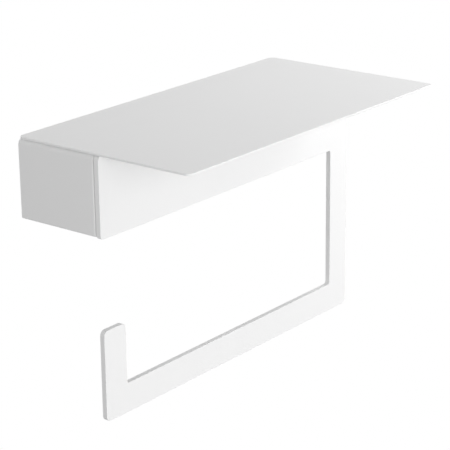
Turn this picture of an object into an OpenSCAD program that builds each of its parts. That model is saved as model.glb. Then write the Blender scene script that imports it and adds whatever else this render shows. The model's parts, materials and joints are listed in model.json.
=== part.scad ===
// Wall shelf with a hook plate below it.
// A thin shelf panel lies on a hollow body that hangs on a hidden wall bracket.
// A flat plate in front of the body turns down, along and up again, and carries a towel or a roll.
// Millimetres. The wall is the plane Y = 0, the shelf stands out towards -Y and +Z is up.
// The origin is on the wall, midway between the two wall slots.

/* [Shelf panel] */
// Width along the wall
shelf_w = 250; // [200:1:320]
// Depth from the wall to the front edge
shelf_d = 132; // [105:1:170]
// Thickness of the sheet
shelf_t = 1.3; // [1:0.1:3]
// Radius of the four corners, seen from above
shelf_corner_r = 4; // [1:0.5:15]

/* [Body] */
// Depth from the wall to the body's front wall
body_d = 60; // [48:1:80]
// Drop from the shelf's top to the underside of the body
body_drop = 51.3; // [43:0.1:70]
// Thickness of the body's walls
body_wall = 2; // [1.2:0.1:3]
// Outside radius of the two upper long edges
body_edge_r = 4; // [3.5:0.5:8]
// Outside radius of the two lower long edges
body_low_r = 1.2; // [0.4:0.1:2]
// Inside radius of the two lower long edges
body_inner_r = 0.5; // [0.2:0.1:1.5]
// How far the shelf panel stands past the body and the plate at each side
side_inset = 0; // [0:0.1:3]

/* [Hook plate] */
// Thickness of the plate
plate_t = 3.5; // [2:0.1:6]
// How far the plate's band reaches below the body
band_overlap = 1; // [0:0.1:3]
// Drop from the shelf's top to the underside of the bar
hook_drop = 168; // [135:1:210]
// Width of the leg, the bar and the tip
strip_w = 19; // [12:0.5:28]
// Height of the upturned tip, from the bar's underside
tip_h = 58.5; // [35:0.5:80]
// Clearance between the plate's top edge and the shelf panel
plate_top_gap = 0.3; // [0.1:0.1:1]
// Radius of the band's top corners
band_top_r = 3; // [0.5:0.5:8]
// Radius of the band's free lower corner
band_low_r = 2.6; // [0.2:0.2:5]
// Radius of the tip's two top corners
tip_r = 3.5; // [0.5:0.5:6]
// Radius of the two outer corners at the bar
bar_r = 3.5; // [0.5:0.5:10]
// Radius of the inner corners
inner_r = 2; // [0.5:0.5:6]

/* [Wall bracket] */
// Thickness of the folded strip
bracket_t = 2.5; // [1.5:0.1:3]
// How far the flanges reach out from the wall
bracket_reach = 18; // [14:1:24]
// Height of the lip that holds the rail
lip_h = 5; // [4:0.5:7]
// Distance from the inside of the body's side wall to the bracket's end
bracket_end_gap = 38; // [32:1:50]
// Distance from the bracket's end to the middle of a wall slot
slot_end_gap = 21; // [12:1:30]
// Width of a wall slot
slot_w = 5.5; // [4:0.1:7]
// Length of a wall slot, end to end
slot_len = 10; // [8:0.5:14]
// Inside radius of the folds
fold_r = 1; // [0.5:0.1:2]

/* [Hang rail] */
// Thickness of the rail's strip
rail_t = 1.5; // [1:0.1:2.5]
// Width of the leg that is welded under the body's top wall
rail_flat_w = 14; // [8:1:18]
// Distance from the bracket's end to the rail's end
rail_end_gap = 5; // [1:1:15]
// Clearance between the rail and the bracket's lip and flange
rail_gap = 0.4; // [0.2:0.1:0.8]

/* [Studs and nuts] */
// Thread of the shelf panel's studs
shelf_stud_d = 4; // [3:1:5]
// Length of the shelf panel's studs
shelf_stud_len = 9; // [8:0.5:14]
// Distance from the body's outside to the shelf studs, along the wall
shelf_stud_edge = 20; // [14:1:24]
// Distance from the wall to the rear pair of shelf studs
shelf_stud_rear = 14; // [10:1:20]
// Distance from the body's front to the front pair of shelf studs
shelf_stud_front = 18; // [16:1:26]
// Thread of the hook plate's studs
hook_stud_d = 5; // [4:1:6]
// Length of the hook plate's studs
hook_stud_len = 11; // [10:0.5:16]
// Distance from the plate's ends to its outer studs
hook_stud_edge = 26; // [16:1:40]
// Thickness of the spacers between the plate and the body
spacer_t = 0.5; // [0.2:0.1:2]
// Thickness of the washers
washer_t = 0.8; // [0.5:0.1:1.5]

/* [Lock screws] */
// Thread of the lock screws
lock_d = 5; // [4:1:6]
// Length of the lock screws
lock_len = 12; // [10:1:16]
// How far a lock screw's end is sunk into the body's underside
lock_recess = 0.5; // [0:0.1:1.5]
// Distance from the bracket's end to a lock screw
lock_end_gap = 30; // [12:1:40]
// Distance from the wall to the lock screws
lock_from_wall = 10; // [8:1:12]

/* [Clearances] */
// Radial clearance of a thread in its nut
thread_gap = 0.05; // [0.02:0.01:0.1]
// Radial clearance of a stud or screw in a drilled hole
hole_gap = 0.25; // [0.1:0.05:0.5]

/* [Hidden] */
$fn = 64;
SHELF_STUDS = 4;
HOOK_STUDS = 3;
LOCK_SCREWS = 2;
SIDES = ["left", "right"];

white_coat = [0.93, 0.93, 0.92];
zinc = [0.70, 0.71, 0.73];
nylon = [0.90, 0.90, 0.86];
black_steel = [0.20, 0.20, 0.21];

cut = 0.01;            // how far a cutter stands past the face that it opens
hex_corner = 2 / sqrt(3);   // a hexagon's corners over its flats

// Widths along the wall
body_w = shelf_w - 2 * side_inset;
bracket_w = body_w - 2 * (body_wall + bracket_end_gap);
rail_w = bracket_w - 2 * rail_end_gap;
slot_pitch = bracket_w - 2 * slot_end_gap;
lock_pitch = bracket_w - 2 * lock_end_gap;

// Depths below the shelf's top
rail_under = shelf_t + body_wall + rail_t;
flange_top = rail_under + lip_h;
flange_under = body_drop - lock_recess - lock_len;
slot_line = (flange_top + flange_under) / 2;

// Heights above the origin, which is on the line of the wall slots
top_z = slot_line;
panel_z = top_z - shelf_t;
ceiling_z = panel_z - body_wall;
lip_z = top_z - rail_under;
flange_top_z = top_z - flange_top;
flange_under_z = top_z - flange_under;
body_z = top_z - body_drop;
band_z = body_z - band_overlap;
floor_z = body_z + body_wall;
bar_z = top_z - hook_drop;
plate_top_z = panel_z - plate_top_gap;
band_mid_z = (plate_top_z + body_z) / 2;

// Places along Y
plate_back_y = -body_d - spacer_t;
plate_face_y = plate_back_y - plate_t;
lip_back_y = -bracket_reach + bracket_t;
rail_back_y = lip_back_y + rail_gap + rail_t;

// Fasteners: weld flange, washer and nut of each thread
weld_flange_t = 0.8;
function weld_flange_d(d) = d + 1.5;
function stud_hole_d(d) = weld_flange_d(d) + 2 * hole_gap;
function washer_d(d) = 2.25 * d;
function nut_flats(d) = d + 3;
function nut_t(d) = 0.8 * d;
function shelf_stud_place(i) = [
    (i % 2 == 0 ? -1 : 1) * (body_w / 2 - shelf_stud_edge),
    i < 2 ? -shelf_stud_rear : -body_d + shelf_stud_front,
    panel_z
];
function hook_stud_place(i) = [(i - 1) * (body_w / 2 - hook_stud_edge), plate_back_y, band_mid_z];
function lock_place(i) = [(2 * i - 1) * lock_pitch / 2, -lock_from_wall, body_z];

// ---- Outlines ----

// The space between a square corner at p and an arc inside it. Taken off, it rounds an outer
// corner; added, it fills an inner one. sx and sy point from the corner towards the arc's centre.
module corner_web(p, sx, sy, r) {
    translate(p)
        mirror([sx < 0 ? 1 : 0, 0])
            mirror([0, sy < 0 ? 1 : 0])
                difference() {
                    translate([-cut, -cut]) square(r + cut);
                    translate([r, r]) circle(r);
                }
}

// A plain rectangle from p to q.
module rect(p, q) {
    translate(p) square([q.x - p.x, q.y - p.y]);
}

// A rectangle from p to q. low_r rounds its two corners level with p, high_r the two level with q.
module round_rect(p, q, low_r, high_r) {
    difference() {
        rect(p, q);
        corner_web(p, 1, 1, low_r);
        corner_web([q.x, p.y], -1, 1, low_r);
        corner_web(q, -1, -1, high_r);
        corner_web([p.x, q.y], 1, -1, high_r);
    }
}

// Stands an outline drawn in X and Z up, with its front at y = face and its back at y = back.
module stand(face, back) {
    translate([0, back, 0]) rotate([90, 0, 0]) linear_extrude(back - face) children();
}

// Runs a section drawn in Y and Z along the wall, centred on the origin.
module run_along(length) {
    translate([-length / 2, 0, 0]) rotate([90, 0, 90]) linear_extrude(length) children();
}

// ---- Main pieces ----

module shelf_panel() {
    color(white_coat)
        translate([0, 0, panel_z])
            linear_extrude(shelf_t)
                round_rect([-shelf_w / 2, -shelf_d], [shelf_w / 2, 0], shelf_corner_r, shelf_corner_r);
}

// The band across the top, the leg down the right, the bar along the bottom and the upturned tip.
module hook_outline() {
    left = -body_w / 2;
    right = body_w / 2;
    tip_right = left + strip_w;
    leg_left = right - strip_w;
    tip_top = bar_z + tip_h;
    bar_top = bar_z + strip_w;
    difference() {
        union() {
            rect([left, band_z], [right, plate_top_z]);
            rect([leg_left, bar_z], [right, plate_top_z]);
            rect([left, bar_z], [right, bar_top]);
            rect([left, bar_z], [tip_right, tip_top]);
            corner_web([leg_left, band_z], -1, -1, inner_r);
            corner_web([leg_left, bar_top], -1, 1, inner_r);
            corner_web([tip_right, bar_top], 1, 1, inner_r);
        }
        corner_web([left, plate_top_z], 1, -1, band_top_r);
        corner_web([right, plate_top_z], -1, -1, band_top_r);
        corner_web([left, band_z], 1, 1, band_low_r);
        corner_web([right, bar_z], -1, 1, bar_r);
        corner_web([left, bar_z], 1, 1, bar_r);
        corner_web([left, tip_top], 1, -1, tip_r);
        corner_web([tip_right, tip_top], -1, -1, tip_r);
    }
}

module hook_plate() {
    color(white_coat) stand(plate_face_y, plate_back_y) hook_outline();
}

// A box with round long edges, closed at the front and open at the wall.
module body_shell() {
    half = body_w / 2;
    color(white_coat)
        difference() {
            stand(-body_d, 0)
                round_rect([-half, body_z], [half, panel_z], body_low_r, body_edge_r);
            stand(-body_d + body_wall, cut)
                round_rect(
                    [-half + body_wall, floor_z],
                    [half - body_wall, ceiling_z],
                    body_inner_r,
                    body_edge_r - body_wall
                );
            for (i = [0:SHELF_STUDS - 1])
                translate(shelf_stud_place(i))
                    down_hole(stud_hole_d(shelf_stud_d));
            for (i = [0:HOOK_STUDS - 1])
                translate([hook_stud_place(i).x, -body_d, hook_stud_place(i).z])
                    rotate([90, 0, 0])
                        down_hole(stud_hole_d(hook_stud_d));
            for (i = [0:LOCK_SCREWS - 1])
                translate(lock_place(i) + [0, 0, body_wall])
                    down_hole(lock_d + 2 * hole_gap);
        }
}

// A hole through one wall of the body, down from the origin.
module down_hole(d) {
    translate([0, 0, -body_wall - cut]) cylinder(h = body_wall + 2 * cut, d = d);
}

// An angle under the body's top wall; its short leg drops behind the bracket's lip.
module hang_rail() {
    flat_front = rail_back_y - rail_flat_w;
    leg_front = rail_back_y - rail_t;
    leg_end = flange_top_z + rail_gap;
    color(zinc)
        run_along(rail_w)
            difference() {
                union() {
                    rect([flat_front, lip_z], [rail_back_y, ceiling_z]);
                    rect([leg_front, leg_end], [rail_back_y, ceiling_z]);
                }
                corner_web([rail_back_y, ceiling_z], -1, -1, rail_t);
            }
}

// A folded strip: a web on the wall, a flange above and below it, and a lip on the upper flange.
module wall_bracket() {
    lip_top = lip_z;
    web_front = -bracket_t;
    upper_low = flange_top_z - bracket_t;
    lower_top = flange_under_z + bracket_t;
    bend_r = fold_r + bracket_t;
    color(zinc)
        difference() {
            run_along(bracket_w)
                difference() {
                    union() {
                        rect([web_front, flange_under_z], [0, flange_top_z]);
                        rect([-bracket_reach, upper_low], [0, flange_top_z]);
                        rect([-bracket_reach, flange_under_z], [0, lower_top]);
                        rect([-bracket_reach, upper_low], [lip_back_y, lip_top]);
                        corner_web([web_front, upper_low], -1, -1, fold_r);
                        corner_web([web_front, lower_top], -1, 1, fold_r);
                        corner_web([lip_back_y, flange_top_z], 1, 1, fold_r);
                    }
                    corner_web([0, flange_top_z], -1, -1, bend_r);
                    corner_web([0, flange_under_z], -1, 1, bend_r);
                    corner_web([-bracket_reach, upper_low], 1, 1, bend_r);
                }
            for (side = [-1, 1])
                translate([side * slot_pitch / 2, 0, 0])
                    stand(web_front - cut, cut)
                        wall_slot();
        }
}

// One wall slot, long along the wall so that the shelf can be set level.
module wall_slot() {
    straight = slot_len - slot_w;
    square([straight, slot_w], center = true);
    for (side = [-1, 1])
        translate([side * straight / 2, 0]) circle(d = slot_w);
}

// ---- Fasteners ----

// A weld stud standing down from its weld at the origin.
module weld_stud(d, length) {
    color(zinc)
        union() {
            translate([0, 0, -weld_flange_t]) cylinder(h = weld_flange_t, d = weld_flange_d(d));
            translate([0, 0, -length]) cylinder(h = length - weld_flange_t, d = d);
        }
}

// A washer with its upper face at the origin.
module washer(d, thickness) {
    color(zinc) washer_ring(washer_d(d), d + 2 * hole_gap, thickness);
}

// A ring with its upper face at the origin.
module washer_ring(outer_d, inner_d, thickness) {
    translate([0, 0, -thickness])
        difference() {
            cylinder(h = thickness, d = outer_d);
            translate([0, 0, -cut]) cylinder(h = thickness + 2 * cut, d = inner_d);
        }
}

// A hexagon nut with its upper face at the origin.
module hex_nut(d) {
    color(zinc)
        translate([0, 0, -nut_t(d)])
            difference() {
                cylinder(h = nut_t(d), d = nut_flats(d) * hex_corner, $fn = 6);
                translate([0, 0, -cut]) cylinder(h = nut_t(d) + 2 * cut, d = d + 2 * thread_gap);
            }
}

// Puts a fastener that stands down from the origin at shelf stud i, this far below the panel.
module at_shelf_stud(i, depth) {
    translate(shelf_stud_place(i) - [0, 0, depth]) children();
}

// Puts a fastener at hook stud i, pointing at the wall, this far behind the plate.
module at_hook_stud(i, depth) {
    translate(hook_stud_place(i) + [0, depth, 0]) rotate([90, 0, 0]) children();
}

module shelf_stud(i) {
    at_shelf_stud(i, 0) weld_stud(shelf_stud_d, shelf_stud_len);
}

module shelf_washer(i) {
    at_shelf_stud(i, body_wall) washer(shelf_stud_d, washer_t);
}

module shelf_nut(i) {
    at_shelf_stud(i, body_wall + washer_t) hex_nut(shelf_stud_d);
}

module hook_stud(i) {
    at_hook_stud(i, 0) weld_stud(hook_stud_d, hook_stud_len);
}

module hook_spacer(i) {
    color(nylon)
        at_hook_stud(i, 0)
            washer_ring(2 * washer_d(hook_stud_d), stud_hole_d(hook_stud_d), spacer_t);
}

module hook_washer(i) {
    at_hook_stud(i, spacer_t + body_wall) washer(hook_stud_d, washer_t);
}

module hook_nut(i) {
    at_hook_stud(i, spacer_t + body_wall + washer_t) hex_nut(hook_stud_d);
}

// A nut welded on the body's floor.
module lock_nut(i) {
    translate(lock_place(i) + [0, 0, body_wall + nut_t(lock_d)]) hex_nut(lock_d);
}

// A headless screw that is turned from below and presses up on the bracket's lower flange.
module lock_screw(i) {
    socket_flats = lock_d / 2;
    chamfer = 0.1 * lock_d;
    color(black_steel)
        translate(lock_place(i) + [0, 0, lock_recess])
            difference() {
                union() {
                    cylinder(h = lock_len - chamfer, d = lock_d);
                    translate([0, 0, lock_len - chamfer])
                        cylinder(h = chamfer, d1 = lock_d, d2 = lock_d - 2 * chamfer);
                }
                translate([0, 0, -cut])
                    cylinder(h = socket_flats + cut, d = socket_flats * hex_corner, $fn = 6);
            }
}

// ---- The nodes ----

shelf_panel();
hook_plate();
body_shell();
hang_rail();
wall_bracket();
for (i = [0:SHELF_STUDS - 1]) {
    shelf_stud(i);
    shelf_washer(i);
    shelf_nut(i);
}
for (i = [0:HOOK_STUDS - 1]) {
    hook_stud(i);
    hook_spacer(i);
    hook_washer(i);
    hook_nut(i);
}
for (i = [0:LOCK_SCREWS - 1]) {
    lock_nut(i);
    lock_screw(i);
}
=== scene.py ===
"""Finished looks of a small white wall shelf with a hook plate below it.

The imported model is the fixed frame. Each of its parts is built here again as a finer skin in the same
place: sheet edges rounded by their coating, folds with their true bend, rolled threads, chamfered nuts.
Metres, with the wall at Y = 0. The shelf stands out towards -Y, and +Z is up.
"""

import json
import logging
import math
from abc import ABC, abstractmethod
from collections.abc import Callable, Iterable, Mapping, Sequence
from dataclasses import dataclass, field
from enum import Enum
from functools import partial
from typing import Any

import bmesh
import bpy
from mathutils import Matrix, Vector


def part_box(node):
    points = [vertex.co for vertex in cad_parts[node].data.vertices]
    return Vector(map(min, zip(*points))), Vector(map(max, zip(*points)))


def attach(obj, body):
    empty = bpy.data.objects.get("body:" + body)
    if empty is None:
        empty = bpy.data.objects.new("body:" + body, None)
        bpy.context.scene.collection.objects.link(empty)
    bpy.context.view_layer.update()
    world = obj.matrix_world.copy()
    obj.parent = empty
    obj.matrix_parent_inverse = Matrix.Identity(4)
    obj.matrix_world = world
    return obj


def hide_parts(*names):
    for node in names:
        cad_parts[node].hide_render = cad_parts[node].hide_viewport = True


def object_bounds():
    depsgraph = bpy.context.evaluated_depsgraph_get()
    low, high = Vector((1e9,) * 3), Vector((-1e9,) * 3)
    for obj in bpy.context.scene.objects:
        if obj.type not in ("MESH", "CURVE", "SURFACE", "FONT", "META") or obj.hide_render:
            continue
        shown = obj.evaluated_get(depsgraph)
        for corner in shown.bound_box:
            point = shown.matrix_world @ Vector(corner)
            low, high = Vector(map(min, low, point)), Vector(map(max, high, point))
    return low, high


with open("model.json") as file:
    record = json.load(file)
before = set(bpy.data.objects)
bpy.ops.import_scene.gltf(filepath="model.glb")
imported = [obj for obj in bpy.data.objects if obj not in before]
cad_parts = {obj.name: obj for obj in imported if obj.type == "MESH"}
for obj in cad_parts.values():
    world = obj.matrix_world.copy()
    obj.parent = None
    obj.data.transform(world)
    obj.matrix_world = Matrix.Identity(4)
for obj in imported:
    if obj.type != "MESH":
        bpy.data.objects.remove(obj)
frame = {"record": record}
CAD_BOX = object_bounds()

LOG = logging.getLogger("wall_shelf")
MM = 0.001
MERGE_DISTANCE = 0.001 * MM
BODY = "root"
RIGHT = Vector((1, 0, 0))
UP = Vector((0, 0, 1))
DOWN = Vector((0, 0, -1))
TO_WALL = Vector((0, 1, 0))

Colour = tuple[float, float, float, float]
WHITE: Colour = (1, 1, 1, 1)


# Shader maths


class Signal:
    """A number that varies over a surface. Arithmetic on it adds Math nodes."""

    def __init__(self, graph: "Graph", socket: bpy.types.NodeSocket) -> None:
        """Wraps a node's output.

        Args:
            graph: The graph that the node is in.
            socket: The output that carries the value.
        """
        self.graph = graph
        self.socket = socket

    def _maths(self, operation: str, first: "Signal | float", second: "Signal | float") -> "Signal":
        """Adds one Math node.

        Args:
            operation: The node's operation.
            first: Its first value.
            second: Its second value.

        Returns:
            The node's result.
        """
        node = self.graph.add("ShaderNodeMath", {"operation": operation}, {0: first, 1: second})
        return Signal(self.graph, node.outputs[0])

    def __add__(self, other: "Signal | float") -> "Signal":
        """self + other."""
        return self._maths("ADD", self, other)

    def __radd__(self, other: "Signal | float") -> "Signal":
        """other + self."""
        return self._maths("ADD", other, self)

    def __sub__(self, other: "Signal | float") -> "Signal":
        """self - other."""
        return self._maths("SUBTRACT", self, other)

    def __rsub__(self, other: "Signal | float") -> "Signal":
        """other - self."""
        return self._maths("SUBTRACT", other, self)

    def __mul__(self, other: "Signal | float") -> "Signal":
        """self * other."""
        return self._maths("MULTIPLY", self, other)

    def __rmul__(self, other: "Signal | float") -> "Signal":
        """other * self."""
        return self._maths("MULTIPLY", other, self)


class Graph:
    """The node tree of a material or of the world."""

    def __init__(self, tree: bpy.types.NodeTree) -> None:
        """Empties a node tree, ready to be filled.

        Args:
            tree: The tree to work on.
        """
        self.tree = tree
        tree.nodes.clear()

    def add(
        self,
        kind: str,
        settings: Mapping[str, Any] | None = None,
        inputs: Mapping[str | int, Any] | None = None,
    ) -> bpy.types.Node:
        """Adds any node.

        Args:
            kind: The node's type.
            settings: Its properties, set first. "stops" sets a colour ramp's positions and colours.
            inputs: Its sockets by name or number, each with a value, a Signal or another socket.

        Returns:
            The new node.
        """
        node = self.tree.nodes.new(kind)
        for name, setting in (settings or {}).items():
            if name == "stops":
                self._set_stops(node.color_ramp, setting)
            else:
                setattr(node, name, setting)
        for key, given in (inputs or {}).items():
            if isinstance(given, Signal):
                self.tree.links.new(given.socket, node.inputs[key])
            elif isinstance(given, bpy.types.NodeSocket):
                self.tree.links.new(given, node.inputs[key])
            else:
                node.inputs[key].default_value = given
        return node

    @staticmethod
    def _set_stops(ramp: bpy.types.ColorRamp, stops: Sequence[tuple[float, Colour]]) -> None:
        """Sets a ramp's stops.

        Args:
            ramp: The ramp, which has two stops when it is new.
            stops: Positions and colours, from left to right.
        """
        while len(ramp.elements) < len(stops):
            ramp.elements.new(1.0)
        for element, (position, colour) in zip(ramp.elements, stops):
            element.position = position
            element.color = colour

    def place(self, stretch: tuple[float, float, float] = (1, 1, 1)) -> bpy.types.NodeSocket:
        """The point on the object, in metres.

        Args:
            stretch: A scale for each axis, below 1 where a pattern is drawn out.

        Returns:
            The scaled point.
        """
        coordinates = self.add("ShaderNodeTexCoord")
        scaled = self.add(
            "ShaderNodeVectorMath",
            {"operation": "MULTIPLY"},
            {0: coordinates.outputs["Object"], 1: stretch},
        )
        return scaled.outputs[0]

    def noise(self, place: bpy.types.NodeSocket, size: float, detail: float = 2.0) -> Signal:
        """Soft random patches.

        Args:
            place: The point to read the pattern at.
            size: The size of a patch, in metres.
            detail: How many finer layers lie on it.

        Returns:
            A value near 0.5, within 0 to 1.
        """
        node = self.add("ShaderNodeTexNoise", {}, {"Vector": place, "Scale": 1 / size, "Detail": detail})
        return Signal(self, node.outputs[0])

    def blend(self, share: Signal, first: Colour, second: Colour) -> bpy.types.NodeSocket:
        """Blends two colours.

        Args:
            share: How much of the second colour shows.
            first: The colour at 0.
            second: The colour at 1.

        Returns:
            The blended colour.
        """
        node = self.add(
            "ShaderNodeMix", {"data_type": "RGBA"}, {"Factor": share, "A": first, "B": second}
        )
        return node.outputs[2]

    def relief(self, height: Signal, depth: float) -> bpy.types.NodeSocket:
        """A bumpy surface.

        Args:
            height: The relief, from 0 to 1.
            depth: Its full depth in metres.

        Returns:
            The bent normal.
        """
        return self.add("ShaderNodeBump", {}, {"Distance": depth, "Height": height}).outputs[0]

    def seen_as(self, lit: bpy.types.Node, bright: bpy.types.Node) -> bpy.types.NodeSocket:
        """Shows the camera one shader, while the light in the room meets another.

        Args:
            lit: The shader that takes part in the lighting.
            bright: The shader that the camera sees.

        Returns:
            The two shaders in one.
        """
        seen = Signal(self, self.add("ShaderNodeLightPath").outputs["Is Camera Ray"])
        both = self.add("ShaderNodeMixShader", {}, {0: seen, 1: lit.outputs[0], 2: bright.outputs[0]})
        return both.outputs[0]

    def surface(self, inputs: Mapping[str | int, Any]) -> None:
        """Adds the Principled shader and the output.

        Args:
            inputs: The shader's sockets with their values, Signals or links.
        """
        shader = self.add("ShaderNodeBsdfPrincipled", {}, inputs)
        self.add("ShaderNodeOutputMaterial", {}, {"Surface": shader.outputs[0]})


# Finishes


@dataclass(frozen=True)
class Finish(ABC):
    """A surface finish, named after the record's material slot that it belongs to."""

    slot: str

    def material(self) -> bpy.types.Material:
        """Gives the finish's material, which is made the first time that it is asked for.

        Returns:
            The material.
        """
        name = f"{self.slot}_finish"
        made = bpy.data.materials.get(name)
        if made is None:
            made = bpy.data.materials.new(name)
            made.use_nodes = True
            self.lay(Graph(made.node_tree))
        return made

    @abstractmethod
    def lay(self, graph: Graph) -> None:
        """Builds the finish's nodes.

        Args:
            graph: The material's empty graph.
        """


@dataclass(frozen=True)
class PowderCoat(Finish):
    """Matt white powder coat: a soft orange peel with a fine grain on it."""

    slot: str = "white_powder_coat"
    light_shade: Colour = (0.885, 0.885, 0.885, 1)
    deep_shade: Colour = (0.845, 0.845, 0.845, 1)
    roughness: float = 0.47
    roughness_swing: float = 0.12
    drift_size: float = 45 * MM
    peel_size: float = 2.6 * MM
    grain_size: float = 0.42 * MM
    relief_depth: float = 0.016 * MM
    grain_share: float = 0.45
    drift_share: float = 0.4
    refraction: float = 1.5
    reflection: float = 0.4

    def lay(self, graph: Graph) -> None:
        """Builds the coat: colour, sheen and relief all follow the peel and the grain.

        Args:
            graph: The material's empty graph.
        """
        place = graph.place()
        drift = graph.noise(place, self.drift_size)
        peel = graph.noise(place, self.peel_size, detail=1)
        grain = graph.noise(place, self.grain_size)
        height = peel * (1 - self.grain_share) + grain * self.grain_share
        shade = drift * self.drift_share + grain * (1 - self.drift_share)
        graph.surface(
            {
                "Base Color": graph.blend(shade, self.deep_shade, self.light_shade),
                "Roughness": (peel + grain - 1) * self.roughness_swing + self.roughness,
                "Normal": graph.relief(height, self.relief_depth),
                "IOR": self.refraction,
                "Specular IOR Level": self.reflection,
            }
        )


@dataclass(frozen=True)
class ZincPlate(Finish):
    """Bright zinc with its clear blue passivation, over rolled steel."""

    slot: str = "zinc_plated_steel"
    blue_shade: Colour = (0.60, 0.645, 0.70, 1)
    straw_shade: Colour = (0.74, 0.72, 0.665, 1)
    roughness: float = 0.30
    roughness_swing: float = 0.22
    cloud_size: float = 9 * MM
    crystal_size: float = 0.7 * MM
    draw_size: float = 0.35 * MM
    draw_stretch: float = 0.04
    relief_depth: float = 0.006 * MM
    crystal_share: float = 0.35
    crystal_middle: float = 0.4
    crystal_tint: float = 0.25

    def lay(self, graph: Graph) -> None:
        """Builds the plating: cloudy tint, small crystals and faint rolling lines.

        Args:
            graph: The material's empty graph.
        """
        place = graph.place()
        cloud = graph.noise(place, self.cloud_size, detail=3)
        crystals = graph.add(
            "ShaderNodeTexVoronoi", {}, {"Vector": place, "Scale": 1 / self.crystal_size}
        )
        crystal = Signal(graph, crystals.outputs["Distance"])
        lines = graph.noise(graph.place((self.draw_stretch, 1, 1)), self.draw_size)
        height = crystal * self.crystal_share + lines * (1 - self.crystal_share)
        tint = cloud + (crystal - self.crystal_middle) * self.crystal_tint
        graph.surface(
            {
                "Base Color": graph.blend(tint, self.blue_shade, self.straw_shade),
                "Metallic": 1.0,
                "Roughness": (lines + cloud - 1) * self.roughness_swing + self.roughness,
                "Normal": graph.relief(height, self.relief_depth),
            }
        )


@dataclass(frozen=True)
class MouldedNylon(Finish):
    """Natural nylon: milky, slightly waxy, with a spark-eroded mould texture."""

    slot: str = "nylon"
    milk_shade: Colour = (0.86, 0.85, 0.80, 1)
    wax_shade: Colour = (0.79, 0.77, 0.70, 1)
    roughness: float = 0.42
    roughness_swing: float = 0.15
    flow_size: float = 5 * MM
    pit_size: float = 0.3 * MM
    relief_depth: float = 0.01 * MM
    flow_share: float = 0.7
    glow: float = 0.15
    glow_depth: float = 1 * MM

    def lay(self, graph: Graph) -> None:
        """Builds the nylon: flow marks in the colour and a pitted relief.

        Args:
            graph: The material's empty graph.
        """
        place = graph.place()
        flow = graph.noise(place, self.flow_size, detail=3)
        pits = graph.noise(place, self.pit_size, detail=1)
        tint = flow * self.flow_share + pits * (1 - self.flow_share)
        graph.surface(
            {
                "Base Color": graph.blend(tint, self.milk_shade, self.wax_shade),
                "Roughness": (pits - 0.5) * self.roughness_swing + self.roughness,
                "Normal": graph.relief(pits, self.relief_depth),
                "Subsurface Weight": self.glow,
                "Subsurface Scale": self.glow_depth,
            }
        )


@dataclass(frozen=True)
class BlackOxide(Finish):
    """Black oxide on a hardened screw: oily dark grey with brown where it is thin."""

    slot: str = "black_steel"
    black_shade: Colour = (0.022, 0.022, 0.025, 1)
    thin_shade: Colour = (0.085, 0.072, 0.062, 1)
    roughness: float = 0.36
    roughness_swing: float = 0.25
    patch_size: float = 2.2 * MM
    grain_size: float = 0.25 * MM
    relief_depth: float = 0.006 * MM
    patch_share: float = 0.8
    thin_from: float = 0.45
    thin_full: float = 0.72
    metal_share: float = 0.85

    def lay(self, graph: Graph) -> None:
        """Builds the oxide: thin patches, with an oily sheen between them.

        Args:
            graph: The material's empty graph.
        """
        place = graph.place()
        patch = graph.noise(place, self.patch_size, detail=4)
        grain = graph.noise(place, self.grain_size)
        thin = graph.add(
            "ShaderNodeValToRGB",
            {"stops": ((self.thin_from, self.black_shade), (self.thin_full, self.thin_shade))},
            {0: patch * self.patch_share + grain * (1 - self.patch_share)},
        )
        graph.surface(
            {
                "Base Color": thin.outputs[0],
                "Metallic": self.metal_share,
                "Roughness": (patch + grain - 1) * self.roughness_swing + self.roughness,
                "Normal": graph.relief(grain, self.relief_depth),
            }
        )


# Outlines and skins


@dataclass(frozen=True)
class Corner:
    """A corner of an outline, and the radius that rounds it."""

    u: float
    v: float
    radius: float


@dataclass(frozen=True)
class RimPoint:
    """A point on an outline, and the outward direction there."""

    u: float
    v: float
    out_u: float
    out_v: float


@dataclass(frozen=True)
class Step:
    """One ring of a swept skin: how far it lies inside the outline, and how far along the sweep."""

    inset: float
    along: float


class Plane(Enum):
    """How an outline lies in space: the axes of u, of v and of the sweep."""

    FLAT = (0, 1, 2)
    UPRIGHT = (0, 2, 1)
    SECTION = (1, 2, 0)

    def point(self, u: float, v: float, along: float) -> Vector:
        """The point in space for a place on the outline.

        Args:
            u: Along the outline's first axis.
            v: Along its second axis.
            along: Along the sweep.

        Returns:
            The point.
        """
        place = [0.0, 0.0, 0.0]
        for axis, value in zip(self.value, (u, v, along)):
            place[axis] = value
        return Vector(place)

    def ring(self, rim: Sequence["RimPoint"], step: "Step") -> list[Vector]:
        """The ring of points that one step of a sweep puts round an outline.

        Args:
            rim: The outline's points.
            step: The ring's inset and place.

        Returns:
            The ring's points in space.
        """
        return [
            self.point(at.u - step.inset * at.out_u, at.v - step.inset * at.out_v, step.along)
            for at in rim
        ]


def trace(corners: Sequence[Corner], steps: int = 12) -> list[RimPoint]:
    """Traces an outline with arcs at its corners.

    Args:
        corners: The corners, with the material on the left of the way round.
        steps: How many steps each arc has.

    Returns:
        The outline's points. Arcs bulge out at outer corners and hollow in at inner ones.
    """
    rim = []
    for index, corner in enumerate(corners):
        before = corners[index - 1]
        after = corners[(index + 1) % len(corners)]
        way_in = Vector((corner.u - before.u, corner.v - before.v)).normalized()
        way_out = Vector((after.u - corner.u, after.v - corner.v)).normalized()
        turn = math.atan2(way_in.cross(way_out), way_in.dot(way_out))
        bulge = math.copysign(corner.radius, turn)
        start = Vector((corner.u, corner.v)) - way_in * corner.radius * math.tan(abs(turn) / 2)
        outward = Vector((way_in.y, -way_in.x))
        centre = start - outward * bulge
        for step in range(steps + 1):
            direction = Matrix.Rotation(turn * step / steps, 2) @ outward
            place = centre + direction * bulge
            rim.append(RimPoint(place.x, place.y, direction.x, direction.y))
    return rim


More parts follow.
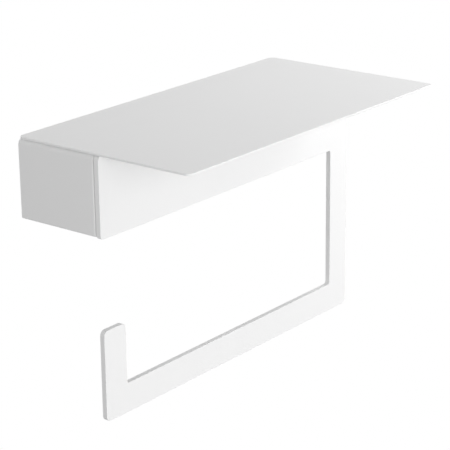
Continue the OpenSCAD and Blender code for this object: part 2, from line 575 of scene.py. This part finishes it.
def circle(centre: tuple[float, float], radius: float, steps: int = 48) -> list[RimPoint]:
    """Traces a circle.

    Args:
        centre: Its middle.
        radius: Its radius.
        steps: How many sides stand for it.

    Returns:
        The circle's points.
    """
    rim = []
    for step in range(steps):
        angle = math.tau * step / steps
        out_u = math.cos(angle)
        out_v = math.sin(angle)
        rim.append(RimPoint(centre[0] + radius * out_u, centre[1] + radius * out_v, out_u, out_v))
    return rim


def block(low_u: float, low_v: float, high_u: float, high_v: float, radius: float) -> list[Corner]:
    """The four corners of a rectangle, in order.

    Args:
        low_u: Lowest place on the first axis.
        low_v: Lowest place on the second axis.
        high_u: Highest place on the first axis.
        high_v: Highest place on the second axis.
        radius: The radius of all four corners.

    Returns:
        The corners, with the material on the left of the way round.
    """
    places = ((low_u, low_v), (high_u, low_v), (high_u, high_v), (low_u, high_v))
    return [Corner(u, v, radius) for u, v in places]


def quarter(inset: float, along: float, radius: float, start: float, steps: int = 5) -> list[Step]:
    """A quarter circle in a sweep's profile, run through clockwise.

    Args:
        inset: The circle's middle, inside the outline.
        along: The circle's middle, along the sweep.
        radius: Its radius.
        start: The starting angle in degrees: 0 points further in, 90 further along.
        steps: How many steps the quarter has.

    Returns:
        The profile's steps.
    """
    arc = []
    for step in range(steps + 1):
        angle = math.radians(start - 90 * step / steps)
        arc.append(Step(inset + radius * math.cos(angle), along + radius * math.sin(angle)))
    return arc


def soft_slab(low: float, high: float, edge: float) -> list[Step]:
    """The profile of a slab with both its edges rounded.

    Args:
        low: Where the slab starts along the sweep.
        high: Where it ends.
        edge: The radius of its edges.

    Returns:
        The profile's steps.
    """
    return [*quarter(edge, low + edge, edge, -90), *quarter(edge, high - edge, edge, 180)]


def flared_hole(low: float, high: float, edge: float) -> list[Step]:
    """The profile of a cutter that goes through a wall and rounds both rims of the hole.

    Args:
        low: One face of the wall along the sweep.
        high: The other face.
        edge: The radius of the rims.

    Returns:
        The profile's steps, which stand past both faces.
    """
    return [
        Step(-edge, low - edge),
        *reversed(quarter(-edge, low + edge, edge, 0)),
        *reversed(quarter(-edge, high - edge, edge, 90)),
        Step(-edge, high + edge),
    ]


class Skin:
    """A closed surface under construction: rings of points, joined by bands of faces."""

    def __init__(self) -> None:
        """Starts an empty skin."""
        self.mesh = bmesh.new()

    def loft(self, rings: Iterable[Iterable[Vector]], hollow: bool = False) -> "Skin":
        """Joins rings in order.

        Args:
            rings: The rings, all with the same number of points.
            hollow: Whether the last ring joins the first one; otherwise both are closed by a face.

        Returns:
            The skin itself.
        """
        made = [[self.mesh.verts.new(point) for point in ring] for ring in rings]
        for first, second in zip(made, made[1:] + made[:1] if hollow else made[1:]):
            for here in range(len(first)):
                there = (here + 1) % len(first)
                self.mesh.faces.new((first[here], first[there], second[there], second[here]))
        if not hollow:
            self.mesh.faces.new(made[0])
            self.mesh.faces.new(reversed(made[-1]))
        return self

    def sweep(self, plane: Plane, rim: Sequence[RimPoint], profile: Sequence[Step]) -> "Skin":
        """Lofts an outline along a profile.

        Args:
            plane: How the outline lies in space.
            rim: The outline's points.
            profile: The inset and the place of each ring.

        Returns:
            The skin itself.
        """
        return self.loft(plane.ring(rim, step) for step in profile)

    def thing(self, name: str) -> bpy.types.Object:
        """Ends the skin.

        Args:
            name: The new object's name.

        Returns:
            An object that holds the skin, with its faces turned outwards and doubled points merged.
        """
        bmesh.ops.remove_doubles(self.mesh, verts=self.mesh.verts, dist=MERGE_DISTANCE)
        bmesh.ops.recalc_face_normals(self.mesh, faces=self.mesh.faces)
        data = bpy.data.meshes.new(name)
        self.mesh.to_mesh(data)
        self.mesh.free()
        thing = bpy.data.objects.new(name, data)
        bpy.context.scene.collection.objects.link(thing)
        return thing


def cut(piece: bpy.types.Object, cutters: Iterable[Skin]) -> None:
    """Cuts holes in a piece.

    Args:
        piece: The piece, whose mesh is changed.
        cutters: The shapes to take away.
    """
    for number, cutter in enumerate(cutters):
        tool = cutter.thing(f"{piece.name}_cutter_{number}")
        modifier = piece.modifiers.new("cut", "BOOLEAN")
        modifier.operation = "DIFFERENCE"
        modifier.solver = "EXACT"
        modifier.object = tool
        bpy.context.view_layer.update()
        evaluated = piece.evaluated_get(bpy.context.evaluated_depsgraph_get())
        whole = piece.data
        piece.data = bpy.data.meshes.new_from_object(evaluated)
        piece.modifiers.clear()
        bpy.data.meshes.remove(whole)
        bpy.data.objects.remove(tool)


def dress(piece: bpy.types.Object, finish: Finish, node: str, crease: float = 35) -> None:
    """Gives a piece its shading, finish and place in the frame.

    Args:
        piece: The piece, already in place.
        finish: Its finish.
        node: The part of the frame that it stands for.
        crease: The angle in degrees above which an edge stays sharp.
    """
    piece.data.shade_smooth()
    piece.data.set_sharp_from_angle(angle=math.radians(crease))
    even = piece.modifiers.new("even_flats", "WEIGHTED_NORMAL")
    even.keep_sharp = True
    piece.data.materials.clear()
    piece.data.materials.append(finish.material())
    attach(piece, BODY)
    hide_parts(node)
    LOG.info("%s stands for %s in %s", piece.name, node, finish.slot)


def sheet(
    node: str,
    plane: Plane,
    corners: Sequence[Corner],
    edge: float,
    finish: Finish,
    cutters: Iterable[Skin] = (),
    steps: int = 12,
) -> None:
    """Builds and dresses a piece of sheet: an outline, swept across its node's box.

    Args:
        node: The node that it stands for.
        plane: How its outline lies in space.
        corners: The outline's corners.
        edge: The radius of its long edges.
        finish: Its finish.
        cutters: What is cut out of it.
        steps: How many steps each corner's arc has.
    """
    low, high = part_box(node)
    across = plane.value[2]
    profile = soft_slab(low[across], high[across], edge)
    piece = Skin().sweep(plane, trace(corners, steps), profile).thing(f"{node}_finished")
    cut(piece, cutters)
    dress(piece, finish, node)


# Turned parts

RingShape = Callable[[float], tuple[float, float]]
THREAD_DEPTH = 0.6134
ROOT_WIDTH = 0.25
CREST_WIDTH = 0.125
RINGS_PER_TURN = 8


class Thread(Enum):
    """Coarse metric threads: the outside diameter and the pitch."""

    M4 = (4.0 * MM, 0.7 * MM)
    M5 = (5.0 * MM, 0.8 * MM)

    @property
    def radius(self) -> float:
        """Half the outside diameter."""
        return self.value[0] / 2

    @property
    def pitch(self) -> float:
        """The rise of one turn."""
        return self.value[1]

    @property
    def depth(self) -> float:
        """How deep the grooves are."""
        return THREAD_DEPTH * self.pitch

    def surface(self, angle: float, height: float) -> float:
        """The thread's radius at a point: flat crests and roots, with straight flanks between them.

        Args:
            angle: The way round, in radians.
            height: The place along the screw.

        Returns:
            The radius there.
        """
        turn = (height / self.pitch - angle / math.tau) % 1
        ramp = (abs(2 * turn - 1) - ROOT_WIDTH) / (1 - ROOT_WIDTH - CREST_WIDTH)
        return self.radius - self.depth * (1 - min(max(ramp, 0), 1))


def ring(radius: float, height: float) -> RingShape:
    """A plain round ring.

    Args:
        radius: Its radius.
        height: Its height.

    Returns:
        The ring's shape.
    """
    return lambda angle: (radius, height)


def hexagon(flats: float, angle: float) -> float:
    """The distance from a hexagon's middle to its side.

    Args:
        flats: Its width over flats.
        angle: The way round from one of its corners, in radians.

    Returns:
        The distance.
    """
    sixth = math.pi / 3
    return flats / 2 / math.cos(angle % sixth - sixth / 2)


def threaded(thread: Thread, start: float, end: float, runout: float, tip: float) -> list[RingShape]:
    """The rings of a threaded shank.

    Args:
        thread: Its thread.
        start: Where the thread starts.
        end: Where the shank ends.
        runout: The length over which the grooves deepen from nothing.
        tip: The height of the chamfer at the end, which is a cone at 45 degrees.

    Returns:
        The rings, from the start to the end.
    """
    count = math.ceil((end - start) / thread.pitch * RINGS_PER_TURN)
    heights = [start + (end - start) * step / count for step in range(count + 1)]

    def at(angle: float, height: float) -> tuple[float, float]:
        """A point on the shank.

        Args:
            angle: The way round, in radians.
            height: The place along the shank.

        Returns:
            The radius and the height there.
        """
        begun = min((height - start) / runout, 1) if runout else 1
        radius = thread.radius - (thread.radius - thread.surface(angle, height)) * begun
        return min(radius, thread.radius - tip + end - height), height

    return [partial(at, height=height) for height in heights]


@dataclass(frozen=True)
class Seat:
    """Where a fastener sits: the middle of its seat, the way it points, its length and its width."""

    origin: Vector
    axis: Vector
    length: float
    width: float

    @classmethod
    def of(cls, node: str, axis: Vector) -> "Seat":
        """Reads a seat from the frame.

        Args:
            node: The fastener's node.
            axis: The way that it points.

        Returns:
            Its seat. The width is square to the X axis, so it is a nut's width over flats.
        """
        low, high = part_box(node)
        size = high - low
        length = abs(size.dot(axis))
        width = abs(size.dot(axis.cross(RIGHT)))
        return cls((low + high) / 2 - axis * length / 2, axis, length, width)

    def place(self) -> Matrix:
        """The placing of a part that is built upwards from the origin."""
        turn = Matrix((RIGHT, self.axis.cross(RIGHT), self.axis)).transposed()
        return Matrix.Translation(self.origin) @ turn.to_4x4()

    def turned(self, rings: Iterable[RingShape], hollow: bool = False, steps: int = 48) -> Skin:
        """Builds a turned part on the seat.

        Args:
            rings: The shapes of its rings, in order.
            hollow: Whether the last ring joins the first one.
            steps: How many points a ring has; a multiple of six, so that hexagons have true corners.

        Returns:
            The part's skin, in place.
        """
        place = self.place()
        angles = [math.tau * step / steps for step in range(steps)]
        placed = []
        for shape in rings:
            polar = [(angle, *shape(angle)) for angle in angles]
            placed.append([place @ Vector((r * math.cos(a), r * math.sin(a), h)) for a, r, h in polar])
        return Skin().loft(placed, hollow)


@dataclass(frozen=True)
class Fastener(ABC):
    """A fastener that is built on the seat that its node gives."""

    finish: Finish

    @abstractmethod
    def skin(self, seat: Seat) -> Skin:
        """Builds the fastener.

        Args:
            seat: Where it sits.

        Returns:
            Its skin, in place.
        """

    def fit(self, node: str, axis: Vector) -> None:
        """Builds and dresses the fastener.

        Args:
            node: The node that it stands for.
            axis: The way that it points.
        """
        dress(self.skin(Seat.of(node, axis)).thing(f"{node}_finished"), self.finish, node)


@dataclass(frozen=True)
class WeldStud(Fastener):
    """A threaded stud with a flange, welded on by its end."""

    thread: Thread
    flange_t: float = 0.8 * MM
    flange_edge: float = 0.2 * MM
    flange_bulge: float = 0.06 * MM
    tip: float = 0.6 * MM
    tip_share: float = 0.4

    def skin(self, seat: Seat) -> Skin:
        """Builds the flange, the relief above it and the threaded shank.

        Args:
            seat: Where the stud is welded.

        Returns:
            Its skin, in place.
        """
        flange = seat.width / 2
        root = self.thread.radius - self.thread.depth
        rings = [
            ring(flange, 0),
            ring(flange, self.flange_t - self.flange_edge),
            ring(flange - self.flange_bulge, self.flange_t - self.flange_bulge),
            ring(flange - self.flange_edge, self.flange_t),
            ring(self.thread.radius, self.flange_t),
        ]
        rings += threaded(self.thread, self.flange_t, seat.length, self.thread.pitch, self.tip)
        rings.append(ring(root * self.tip_share, seat.length))
        return seat.turned(rings, steps=36)


@dataclass(frozen=True)
class Washer(Fastener):
    """A stamped washer: its upper rim is rounded and its lower one is sharper."""

    bore: float
    round_edge: float = 0.18 * MM
    sharp_edge: float = 0.06 * MM

    def skin(self, seat: Seat) -> Skin:
        """Builds the ring from its profile.

        Args:
            seat: Where the washer lies.

        Returns:
            Its skin, in place.
        """
        outer = seat.width / 2
        inner = self.bore / 2
        limit = seat.length / 3
        soft = min(self.round_edge, limit)
        crisp = min(self.sharp_edge, limit)
        profile = [
            *quarter(outer - crisp, crisp, crisp, 0, steps=3),
            *quarter(inner + crisp, crisp, crisp, -90, steps=3),
            *quarter(inner + soft, seat.length - soft, soft, 180, steps=4),
            *quarter(outer - soft, seat.length - soft, soft, 90, steps=4),
        ]
        return seat.turned([ring(step.inset, step.along) for step in profile], hollow=True, steps=60)


@dataclass(frozen=True)
class HexNut(Fastener):
    """A hexagon nut with its corners chamfered at both ends and its bore countersunk."""

    thread: Thread
    thread_gap: float = 0.05 * MM
    face_share: float = 0.95
    sink_share: float = 0.6
    chamfer_slope: float = math.tan(math.radians(30))

    def skin(self, seat: Seat) -> Skin:
        """Builds the nut from rings that go down its outside and up its bore.

        Args:
            seat: Where the nut sits.

        Returns:
            Its skin, in place.
        """
        face = seat.width / 2 * self.face_share
        bore = self.thread.radius + self.thread_gap
        sink = self.sink_share * self.thread.depth
        top = seat.length

        def side(angle: float, low_end: bool) -> tuple[float, float]:
            """A point where the chamfer's cone meets the flats.

            Args:
                angle: The way round, in radians.
                low_end: Whether it is at the nut's lower end.

            Returns:
                The radius and the height there.
            """
            radius = hexagon(seat.width, angle)
            drop = (radius - face) * self.chamfer_slope
            return radius, drop if low_end else top - drop

        rings = [
            ring(face, top),
            partial(side, low_end=False),
            partial(side, low_end=True),
            ring(face, 0),
            ring(bore + sink, 0),
            ring(bore, sink),
            ring(bore, top - sink),
            ring(bore + sink, top),
        ]
        return seat.turned(rings, hollow=True)


@dataclass(frozen=True)
class SetScrew(Fastener):
    """A headless screw with a hexagon socket at its lower end and a flat point."""

    thread: Thread
    chamfer: float = 0.5 * MM
    socket_depth: float = 2.5 * MM
    socket_sink: float = 0.15 * MM
    drill_share: float = 0.1
    drill_slope: float = 0.25
    point_share: float = 0.6

    def skin(self, seat: Seat) -> Skin:
        """Builds the screw: from the floor of its socket, down and round, and up to its point.

        Args:
            seat: The middle of its lower end.

        Returns:
            Its skin, in place.
        """
        flats = self.thread.radius
        mouth = hexagon(flats, 0) + self.socket_sink
        lead = self.thread.radius - self.chamfer

        def floor(angle: float) -> tuple[float, float]:
            """A point at the inner end of the socket's flats."""
            return hexagon(flats, angle), self.socket_depth

        def rim(angle: float) -> tuple[float, float]:
            """A point where the socket's countersink cuts its flats."""
            radius = hexagon(flats, angle)
            return radius, mouth - radius

        def led_in(angle: float, shape: RingShape) -> tuple[float, float]:
            """A point on the thread, kept inside the chamfer at the lower end."""
            radius, height = shape(angle)
            return min(radius, lead + height), height

        rings = [
            ring(self.drill_share * flats, self.socket_depth + self.drill_slope * flats),
            floor,
            rim,
            ring(mouth, 0),
            ring(lead, 0),
        ]
        thread = threaded(self.thread, 0, seat.length, 0, self.chamfer)
        rings += [partial(led_in, shape=shape) for shape in thread]
        rings.append(ring(self.point_share * lead, seat.length))
        return seat.turned(rings)


# Sub-assemblies

COAT = PowderCoat()
ZINC = ZincPlate()
NYLON = MouldedNylon()
OXIDE = BlackOxide()


@dataclass
class ShelfTop:
    """The thin shelf panel, with the four studs under it and their washers and nuts."""

    corner_r: float = 4 * MM
    edge: float = 0.25 * MM
    bore_gap: float = 0.5 * MM
    studs: int = 4
    thread: Thread = Thread.M4

    def panel(self) -> None:
        """Builds the panel as one sheet with coated edges."""
        low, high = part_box("shelf_panel")
        corners = block(low.x, low.y, high.x, high.y, self.corner_r)
        sheet("shelf_panel", Plane.FLAT, corners, self.edge, COAT)

    def fasteners(self) -> None:
        """Builds each stud, with its washer and its nut."""
        for number in range(1, self.studs + 1):
            WeldStud(ZINC, self.thread).fit(f"shelf_stud_{number}", DOWN)
            Washer(ZINC, 2 * self.thread.radius + self.bore_gap).fit(f"shelf_washer_{number}", DOWN)
            HexNut(ZINC, self.thread).fit(f"shelf_nut_{number}", DOWN)

    def build(self) -> None:
        """Builds the sub-assembly."""
        self.panel()
        self.fasteners()


@dataclass
class HookPlate:
    """The plate with its band, leg, bar and tip, and the three studs behind it with their hardware."""

    strip_w: float = 19 * MM
    tip_h: float = 58.5 * MM
    band_top_r: float = 3 * MM
    band_low_r: float = 2.6 * MM
    band_overlap: float = 1 * MM
    bar_r: float = 3.5 * MM
    tip_r: float = 3.5 * MM
    inner_r: float = 2 * MM
    edge: float = 0.2 * MM
    bore_gap: float = 0.5 * MM
    flange_rim: float = 1.5 * MM
    spacer_edge: float = 0.1 * MM
    studs: int = 3
    thread: Thread = Thread.M5

    def corners(self) -> list[Corner]:
        """The plate's outline, seen from the front.

        Returns:
            The corners, with the metal on the left of the way round.
        """
        low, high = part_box("hook_plate")
        band_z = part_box("body_shell")[0].z - self.band_overlap
        tip_x = low.x + self.strip_w
        leg_x = high.x - self.strip_w
        bar_top = low.z + self.strip_w
        tip_top = low.z + self.tip_h
        return [
            Corner(low.x, band_z, self.band_low_r),
            Corner(leg_x, band_z, self.inner_r),
            Corner(leg_x, bar_top, self.inner_r),
            Corner(tip_x, bar_top, self.inner_r),
            Corner(tip_x, tip_top, self.tip_r),
            Corner(low.x, tip_top, self.tip_r),
            Corner(low.x, low.z, self.bar_r),
            Corner(high.x, low.z, self.bar_r),
            Corner(high.x, high.z, self.band_top_r),
            Corner(low.x, high.z, self.band_top_r),
        ]

    def plate(self) -> None:
        """Builds the plate from its outline, with coated edges."""
        sheet("hook_plate", Plane.UPRIGHT, self.corners(), self.edge, COAT)

    def fasteners(self) -> None:
        """Builds each stud, with its spacer, its washer and its nut."""
        shank = 2 * self.thread.radius
        spacer_bore = shank + self.flange_rim + self.bore_gap
        for number in range(1, self.studs + 1):
            WeldStud(ZINC, self.thread).fit(f"hook_stud_{number}", TO_WALL)
            Washer(NYLON, spacer_bore, self.spacer_edge).fit(f"hook_spacer_{number}", TO_WALL)
            Washer(ZINC, shank + self.bore_gap).fit(f"hook_washer_{number}", TO_WALL)
            HexNut(ZINC, self.thread).fit(f"hook_nut_{number}", TO_WALL)

    def build(self) -> None:
        """Builds the sub-assembly."""
        self.plate()
        self.fasteners()


@dataclass
class Body:
    """The hollow body behind the plate, with its hang rail, its lock nuts and its lock screws."""

    wall: float = 2 * MM
    top_r: float = 4 * MM
    low_r: float = 1.2 * MM
    inner_low_r: float = 0.5 * MM
    front_edge: float = 1 * MM
    wall_rim: float = 0.4 * MM
    inner_fillet: float = 0.4 * MM
    hole_rim: float = 0.25 * MM
    hole_gap: float = 0.25 * MM
    rail_t: float = 1.5 * MM
    rail_edge: float = 0.25 * MM
    sides: tuple[str, str] = ("left", "right")
    lock_thread: Thread = Thread.M5

    def outline(self, inset: float) -> list[RimPoint]:
        """The shell's section, seen from the front: its outside, or its inside at the wall's depth.

        Args:
            inset: How far inside the shell's box the outline lies.

        Returns:
            The outline's points, as many outside as inside.
        """
        low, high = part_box("body_shell")
        low_r = self.inner_low_r if inset else self.low_r
        top_r = self.top_r - inset
        corners = [
            Corner(low.x + inset, low.z + inset, low_r),
            Corner(high.x - inset, low.z + inset, low_r),
            Corner(high.x - inset, high.z - inset, top_r),
            Corner(low.x + inset, high.z - inset, top_r),
        ]
        return trace(corners, steps=16)

    def skin(self) -> Skin:
        """Builds the shell: over the front, along the outside, round the rim and back inside.

        Returns:
            The shell's skin, without its holes.
        """
        low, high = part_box("body_shell")
        fillet = self.inner_fillet
        rim = self.wall_rim
        outside = [
            *quarter(self.front_edge, low.y + self.front_edge, self.front_edge, -90),
            *quarter(rim, high.y - rim, rim, 180),
        ]
        inside = [
            *quarter(-rim, high.y - rim, rim, 90),
            *reversed(quarter(fillet, low.y + self.wall + fillet, fillet, 270)),
        ]
        outer = self.outline(0)
        inner = self.outline(self.wall)
        rings = [Plane.UPRIGHT.ring(outer, step) for step in outside]
        rings += [Plane.UPRIGHT.ring(inner, step) for step in inside]
        return Skin().loft(rings)

    def hole(self, node: str, axis: Vector, plane: Plane, profile: Sequence[Step]) -> Skin:
        """The cutter of one hole, in line with its stud or screw.

        Args:
            node: The stud's or screw's node.
            axis: The way that it points.
            plane: How the hole's outline lies in space.
            profile: The cutter's profile.

        Returns:
            The cutter.
        """
        seat = Seat.of(node, axis)
        u, v, _ = plane.value
        rim = circle((seat.origin[u], seat.origin[v]), seat.width / 2 + self.hole_gap)
        return Skin().sweep(plane, rim, profile)

    def holes(self) -> list[Skin]:
        """The cutters of all the holes in the shell's top, front and floor.

        Returns:
            The cutters.
        """
        low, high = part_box("body_shell")
        top = flared_hole(high.z - self.wall, high.z, self.hole_rim)
        front = flared_hole(low.y, low.y + self.wall, self.hole_rim)
        floor = flared_hole(low.z, low.z + self.wall, self.hole_rim)
        shelf_studs = [f"shelf_stud_{number}" for number in range(1, ShelfTop.studs + 1)]
        hook_studs = [f"hook_stud_{number}" for number in range(1, HookPlate.studs + 1)]
        screws = [f"lock_screw_{side}" for side in self.sides]
        return [
            *(self.hole(node, DOWN, Plane.FLAT, top) for node in shelf_studs),
            *(self.hole(node, TO_WALL, Plane.UPRIGHT, front) for node in hook_studs),
            *(self.hole(node, UP, Plane.FLAT, floor) for node in screws),
        ]

    def shell(self) -> None:
        """Builds the shell and drills it."""
        shell = self.skin().thing("body_shell_finished")
        cut(shell, self.holes())
        dress(shell, COAT, "body_shell")

    def rail(self) -> None:
        """Builds the hang rail: a flat leg under the top wall and a short one that drops from it."""
        low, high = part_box("hang_rail")
        flat_z = high.z - self.rail_t
        drop_y = high.y - self.rail_t
        edge = self.rail_edge
        corners = [
            Corner(high.y, low.z, edge),
            Corner(high.y, high.z, self.rail_t),
            Corner(low.y, high.z, edge),
            Corner(low.y, flat_z, edge),
            Corner(drop_y, flat_z, edge),
            Corner(drop_y, low.z, edge),
        ]
        sheet("hang_rail", Plane.SECTION, corners, edge, ZINC, steps=6)

    def locks(self) -> None:
        """Builds the two lock nuts on the floor and the screws through them."""
        for side in self.sides:
            HexNut(ZINC, self.lock_thread).fit(f"lock_nut_{side}", UP)
            SetScrew(OXIDE, self.lock_thread).fit(f"lock_screw_{side}", UP)

    def build(self) -> None:
        """Builds the sub-assembly."""
        self.shell()
        self.rail()
        self.locks()


@dataclass
class WallBracket:
    """The folded strip on the wall: a web with two slots, two flanges, and a lip on the upper one."""

    strip_t: float = 2.5 * MM
    lip_h: float = 5 * MM
    fold_r: float = 1 * MM
    edge: float = 0.3 * MM

    def corners(self) -> list[Corner]:
        """The strip's section, seen along the wall.

        Returns:
            The corners, with the metal on the left of the way round.
        """
        low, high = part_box("wall_bracket")
        bend_r = self.fold_r + self.strip_t
        flange_top = high.z - self.lip_h
        flange_low = flange_top - self.strip_t
        lower_top = low.z + self.strip_t
        lip_back = low.y + self.strip_t
        web_front = high.y - self.strip_t
        return [
            Corner(high.y, low.z, bend_r),
            Corner(high.y, flange_top, bend_r),
            Corner(lip_back, flange_top, self.fold_r),
            Corner(lip_back, high.z, self.edge),
            Corner(low.y, high.z, self.edge),
            Corner(low.y, flange_low, bend_r),
            Corner(web_front, flange_low, self.fold_r),
            Corner(web_front, lower_top, self.fold_r),
            Corner(low.y, lower_top, self.edge),
            Corner(low.y, low.z, self.edge),
        ]

    def slots(self) -> list[Skin]:
        """The cutters of the wall slots, at the places that the record gives.

        Returns:
            The cutters.
        """
        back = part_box("wall_bracket")[1].y
        profile = flared_hole(back - self.strip_t, back, self.edge)
        mount = next(m for m in frame["record"]["mounts"] if m["name"] == "wall_slots")
        middle = Vector(mount["pos_m"])
        radius = mount["dims"]["hole_r_mm"] * MM
        reach = mount["dims"]["slot_length_mm"] * MM / 2
        pitch = mount["dims"]["spacing_x_mm"] * MM
        cutters = []
        for x in (middle.x - pitch / 2, middle.x + pitch / 2):
            corners = block(x - reach, middle.z - radius, x + reach, middle.z + radius, radius)
            cutters.append(Skin().sweep(Plane.UPRIGHT, trace(corners), profile))
        return cutters

    def build(self) -> None:
        """Builds the bracket and cuts its slots."""
        sheet("wall_bracket", Plane.SECTION, self.corners(), self.edge, ZINC, self.slots(), steps=8)


# Studio


def bearing(azimuth: float, elevation: float) -> Vector:
    """The direction from the object towards something that looks at it.

    Args:
        azimuth: Degrees round it; 0 is in front of it and 90 on its right.
        elevation: Degrees above the horizon.

    Returns:
        A unit vector.
    """
    a = math.radians(azimuth)
    e = math.radians(elevation)
    return Vector((math.sin(a) * math.cos(e), -math.cos(a) * math.cos(e), math.sin(e)))


@dataclass(frozen=True)
class SoftBox:
    """A large soft light."""

    name: str
    azimuth: float
    elevation: float
    power: float
    distance: float = 1.3
    size: float = 0.9

    def hang(self, centre: Vector) -> None:
        """Hangs the light, facing the object.

        Args:
            centre: The middle of the object.
        """
        lamp = bpy.data.lights.new(self.name, "AREA")
        lamp.shape = "DISK"
        lamp.size = self.size
        lamp.energy = self.power
        light = bpy.data.objects.new(self.name, lamp)
        back = bearing(self.azimuth, self.elevation)
        light.location = centre + back * self.distance
        light.rotation_mode = "QUATERNION"
        light.rotation_quaternion = (-back).to_track_quat("-Z", "Y")
        light.visible_camera = False
        bpy.context.scene.collection.objects.link(light)


@dataclass
class Studio:
    """A bright plain floor far below the shelf, soft boxes round it, and the camera."""

    azimuth: float = -51.406
    elevation: float = 18.686
    roll: float = -0.712
    distance: float = 1123.26 * MM
    shift_right: float = -7.54 * MM
    shift_up: float = 7.28 * MM
    lens_mm: float = 140.96
    sensor_mm: float = 36
    floor_drop: float = 1.1
    floor_radius: float = 14
    paper_shade: Colour = (0.90, 0.90, 0.90, 1)
    paper_light: Colour = (0.94, 0.94, 0.94, 1)
    paper_roughness: float = 0.9
    tooth_size: float = 2 * MM
    sky: float = 0.193
    backdrop: float = 1.0
    boxes: list[SoftBox] = field(
        default_factory=lambda: [
            SoftBox("left_box", azimuth=-90, elevation=25, power=3.98),
            SoftBox("front_box", azimuth=-25, elevation=8, power=8.71),
            SoftBox("low_box", azimuth=0, elevation=-20, power=3.14),
            SoftBox("top_box", azimuth=90, elevation=70, power=3.3, distance=0.9, size=0.6),
            SoftBox("near_box", azimuth=60, elevation=20, power=3.09, distance=0.75, size=0.5),
            SoftBox("back_box", azimuth=180, elevation=8, power=6.0),
        ]
    )

    def floor(self, centre: Vector) -> None:
        """Lays the floor.

        Args:
            centre: The middle of the object.
        """
        disc = bmesh.new()
        bmesh.ops.create_circle(disc, cap_ends=True, segments=96, radius=self.floor_radius)
        bmesh.ops.translate(disc, verts=disc.verts, vec=centre + DOWN * self.floor_drop)
        data = bpy.data.meshes.new("studio_floor")
        disc.to_mesh(data)
        disc.free()
        floor = bpy.data.objects.new("studio_floor", data)
        bpy.context.scene.collection.objects.link(floor)
        paper = bpy.data.materials.new("floor_paper")
        paper.use_nodes = True
        graph = Graph(paper.node_tree)
        tooth = graph.noise(graph.place(), self.tooth_size)
        shade = graph.blend(tooth, self.paper_shade, self.paper_light)
        matt = graph.add(
            "ShaderNodeBsdfPrincipled", {}, {"Base Color": shade, "Roughness": self.paper_roughness}
        )
        bright = graph.add("ShaderNodeEmission", {}, {"Color": WHITE, "Strength": self.backdrop})
        surface = graph.seen_as(matt, bright)
        graph.add("ShaderNodeOutputMaterial", {}, {"Surface": surface})
        data.materials.append(paper)

    def world(self) -> None:
        """Sets the soft light from all round, and the pale backdrop that a camera sees."""
        world = bpy.data.worlds.new("studio_world")
        world.use_nodes = True
        graph = Graph(world.node_tree)
        soft = graph.add("ShaderNodeBackground", {}, {"Color": WHITE, "Strength": self.sky})
        bright = graph.add("ShaderNodeBackground", {}, {"Color": WHITE, "Strength": self.backdrop})
        graph.add("ShaderNodeOutputWorld", {}, {"Surface": graph.seen_as(soft, bright)})
        bpy.context.scene.world = world

    def camera(self, centre: Vector) -> None:
        """Sets up the camera.

        Args:
            centre: The middle of the object.
        """
        back = bearing(self.azimuth, self.elevation)
        level = Vector((math.cos(math.radians(self.azimuth)), math.sin(math.radians(self.azimuth)), 0))
        tilt = Matrix.Rotation(math.radians(self.roll), 3, back)
        right = tilt @ level
        up = back.cross(right)
        data = bpy.data.cameras.new("camera")
        data.lens = self.lens_mm
        data.sensor_width = self.sensor_mm
        camera = bpy.data.objects.new("camera", data)
        turn = Matrix((right, up, back)).transposed().to_4x4()
        eye = centre + back * self.distance + right * self.shift_right + up * self.shift_up
        camera.matrix_world = Matrix.Translation(eye) @ turn
        bpy.context.scene.collection.objects.link(camera)
        bpy.context.scene.camera = camera

    def build(self) -> None:
        """Builds the studio round the object."""
        low, high = CAD_BOX
        centre = (low + high) / 2
        self.floor(centre)
        self.world()
        for box in self.boxes:
            box.hang(centre)
        self.camera(centre)
        bpy.context.scene.view_settings.view_transform = "Standard"


def main() -> None:
    logging.basicConfig(level=logging.INFO, format="%(name)s: %(message)s")
    for part in (ShelfTop(), HookPlate(), Body(), WallBracket(), Studio()):
        part.build()
        LOG.info("%s is built", type(part).__name__)


if __name__ == "__main__":
    main()
